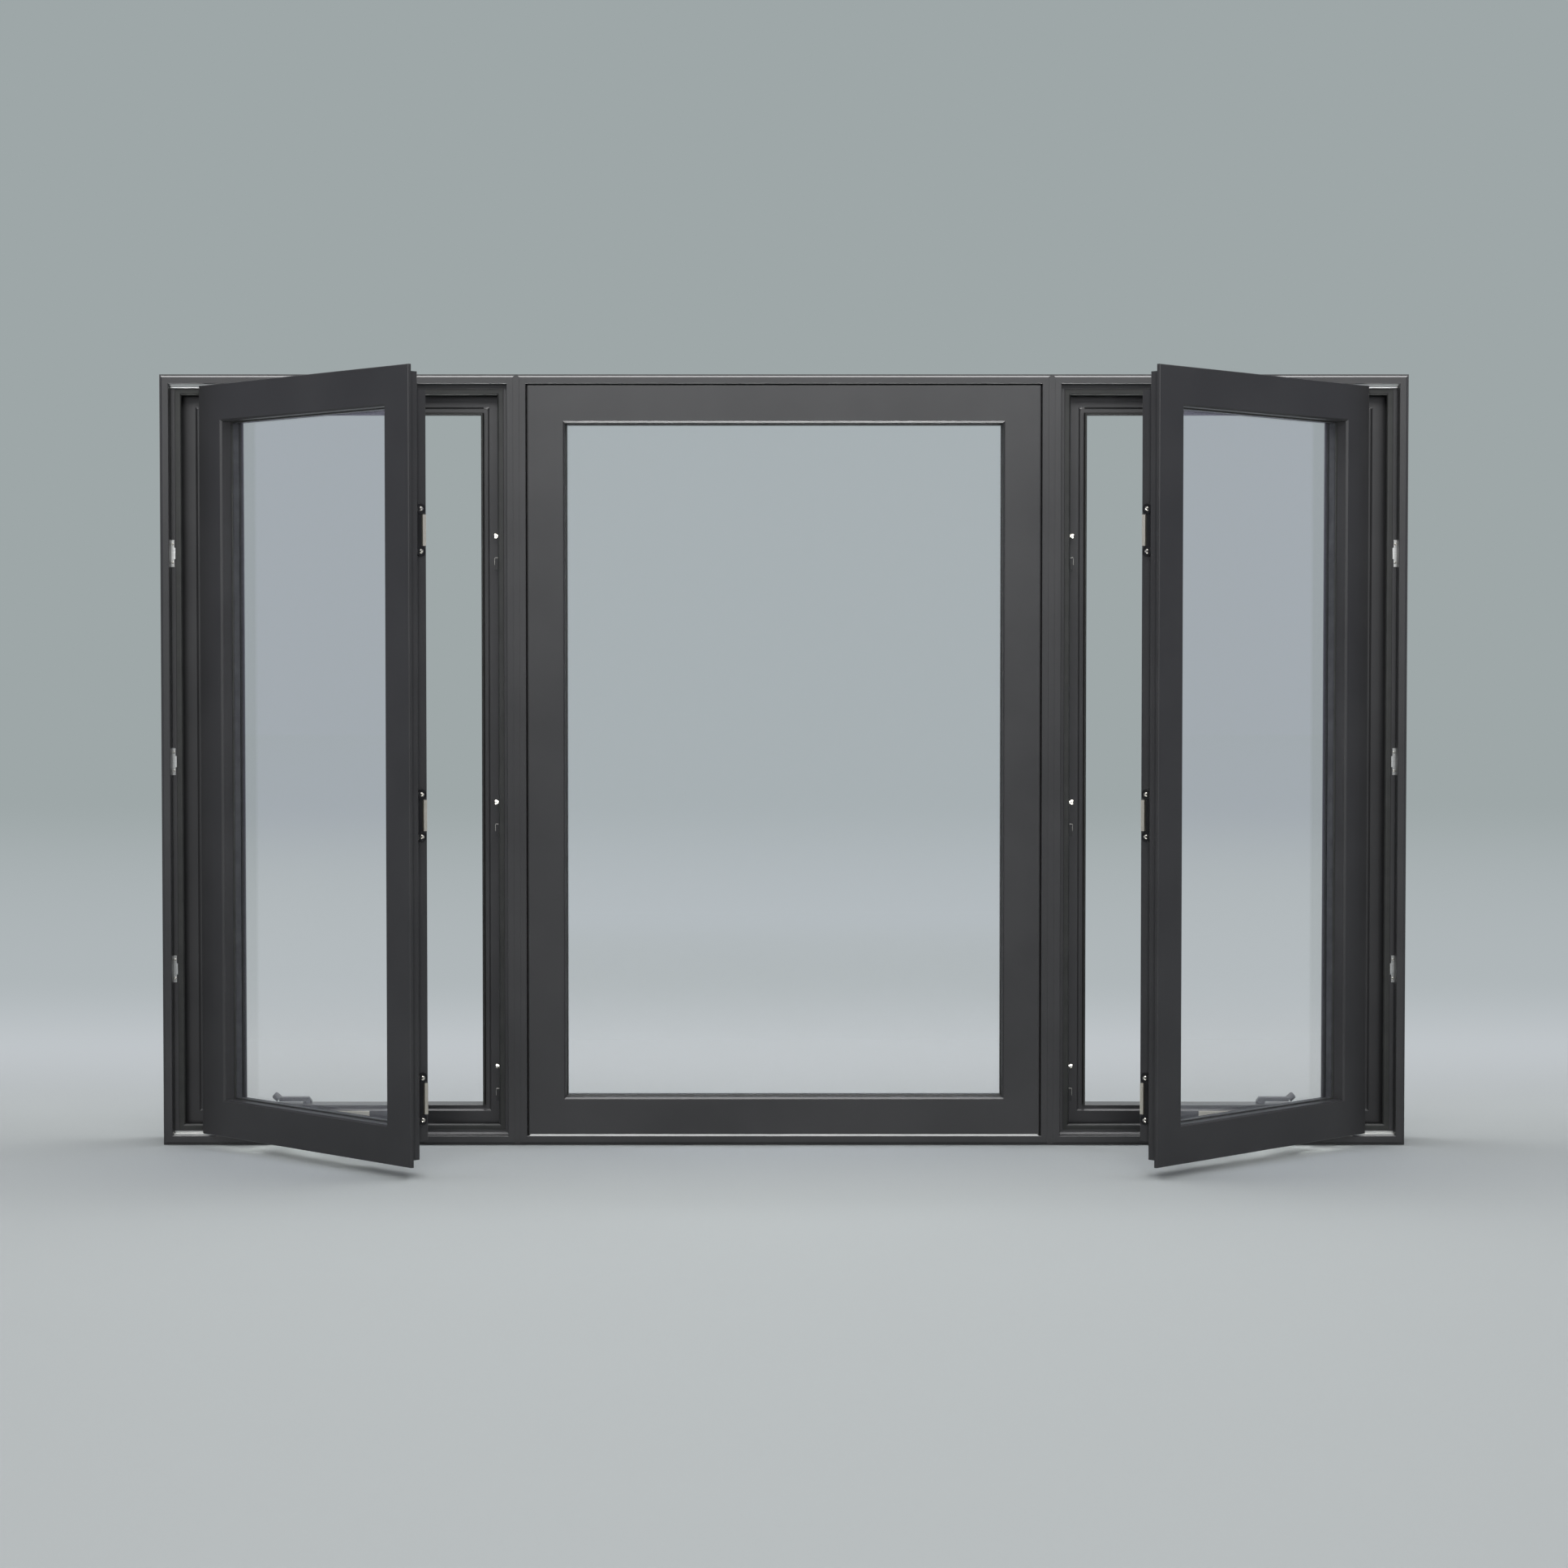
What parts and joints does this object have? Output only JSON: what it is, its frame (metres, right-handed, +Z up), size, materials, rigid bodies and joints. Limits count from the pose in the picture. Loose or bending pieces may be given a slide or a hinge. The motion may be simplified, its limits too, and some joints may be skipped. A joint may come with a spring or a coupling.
{
  "type": "triple casement window",
  "caption": "Wide mulled window in dark charcoal: a fixed picture sash between outward-opening casements on track hinges, shown open, with lock bars and crank operators.",
  "frame": {"origin": "on the underside of the sill, at the middle of the window's width and of the frame's depth", "axes": "+X to the right as seen from outdoors, +Y towards the room, +Z up"},
  "size_m": [2.1336, 0.5282, 1.3208],
  "materials": {
    "charcoal_finish": "satin",
    "seal_rubber": "matte",
    "glass": "clear",
    "spacer": "satin",
    "stainless_steel": "brushed",
    "plated_steel": "plated",
    "cast_zinc": "cast",
    "black_nylon": "moulded",
    "keeper_black": "painted",
    "handle_paint": "powder coated"
  },
  "bodies": {
    "root": {"centre_bottom_rail": "charcoal_finish", "centre_glass": "glass", "centre_glazing_bead": "charcoal_finish", "centre_head": "charcoal_finish", "centre_left_jamb": "charcoal_finish", "centre_left_stile": "charcoal_finish", "centre_right_jamb": "charcoal_finish", "centre_right_stile": "charcoal_finish", "centre_sill": "charcoal_finish", "centre_top_rail": "charcoal_finish", "centre_weatherstrip": "seal_rubber", "glass_spacers": "spacer", "hinge_arms": "stainless_steel", "hinge_sash_plates": "stainless_steel", "hinge_shoes": "stainless_steel", "hinge_tracks": "stainless_steel", "jamb_snubbers": "stainless_steel", "keeper_strikes": "cast_zinc", "left_bottom_rail": "charcoal_finish", "left_crank_handle": "handle_paint", "left_glass": "glass", "left_glazing_bead": "charcoal_finish", "left_head": "charcoal_finish", "left_hinge_jamb": "charcoal_finish", "left_hinge_stile": "charcoal_finish", "left_lock_bar": "plated_steel", "left_lock_jamb": "charcoal_finish", "left_lock_stile": "charcoal_finish", "left_sill": "charcoal_finish", "left_top_rail": "charcoal_finish", "left_weatherstrips": "seal_rubber", "lock_guides": "black_nylon", "lock_levers": "handle_paint", "mull_strips": "charcoal_finish", "operator_arms": "stainless_steel", "operator_sash_tracks": "stainless_steel", "operators": "cast_zinc", "right_bottom_rail": "charcoal_finish", "right_crank_handle": "handle_paint", "right_glass": "glass", "right_glazing_bead": "charcoal_finish", "right_head": "charcoal_finish", "right_hinge_jamb": "charcoal_finish", "right_hinge_stile": "charcoal_finish", "right_lock_bar": "plated_steel", "right_lock_jamb": "charcoal_finish", "right_lock_stile": "charcoal_finish", "right_sill": "charcoal_finish", "right_top_rail": "charcoal_finish", "right_weatherstrips": "seal_rubber", "sash_keepers": "keeper_black"}
  },
  "joints": []
}
